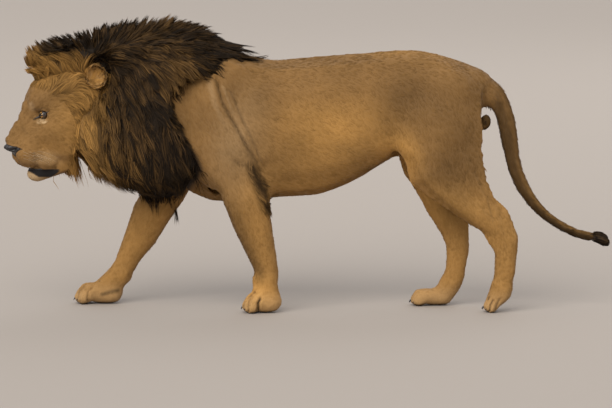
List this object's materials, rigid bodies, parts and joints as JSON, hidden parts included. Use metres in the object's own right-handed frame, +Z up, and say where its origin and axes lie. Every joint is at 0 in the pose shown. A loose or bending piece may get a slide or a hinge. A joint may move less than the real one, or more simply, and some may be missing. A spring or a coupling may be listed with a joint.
{
  "type": "lion",
  "caption": "Life-size adult male lion in mid stride, head a little turned and lowered, full dark mane, tail hanging with a tufted tip.",
  "frame": {"origin": "on the ground under the middle of the bounding box", "axes": "+Z up, the animal walks towards -X, its left side faces -Y"},
  "size_m": [2.5348, 0.492, 1.2122],
  "materials": {
    "coat": "short tawny fur lying flat",
    "pale_coat": "short golden fur lying flat",
    "mane": "long near-black brown hair",
    "ruff": "golden brown hair",
    "dark_skin": "bare black skin, slightly moist",
    "eye": "wet amber eye"
  },
  "bodies": {
    "root": {"shoulder_left": "coat", "thigh_left": "coat", "shoulder_right": "coat", "thigh_right": "coat", "head": "coat", "neck": "coat", "chest": "coat", "belly": "coat", "rump": "coat", "tail_root": "coat", "tail_middle": "coat", "tail_end": "coat", "forearm_left": "pale_coat", "fore_paw_left": "pale_coat", "shank_left": "pale_coat", "hock_left": "pale_coat", "hind_paw_left": "pale_coat", "forearm_right": "pale_coat", "fore_paw_right": "pale_coat", "shank_right": "pale_coat", "hock_right": "pale_coat", "hind_paw_right": "pale_coat", "jaw": "pale_coat", "mane_crest": "mane", "mane_left": "mane", "mane_right": "mane", "tail_tuft": "mane", "elbow_tuft_left": "mane", "mane_forelock": "ruff", "ear_left": "ruff", "ear_right": "ruff", "nose": "dark_skin", "lip": "dark_skin", "scrotum": "dark_skin", "eye_left": "eye", "eye_right": "eye"}
  },
  "joints": []
}
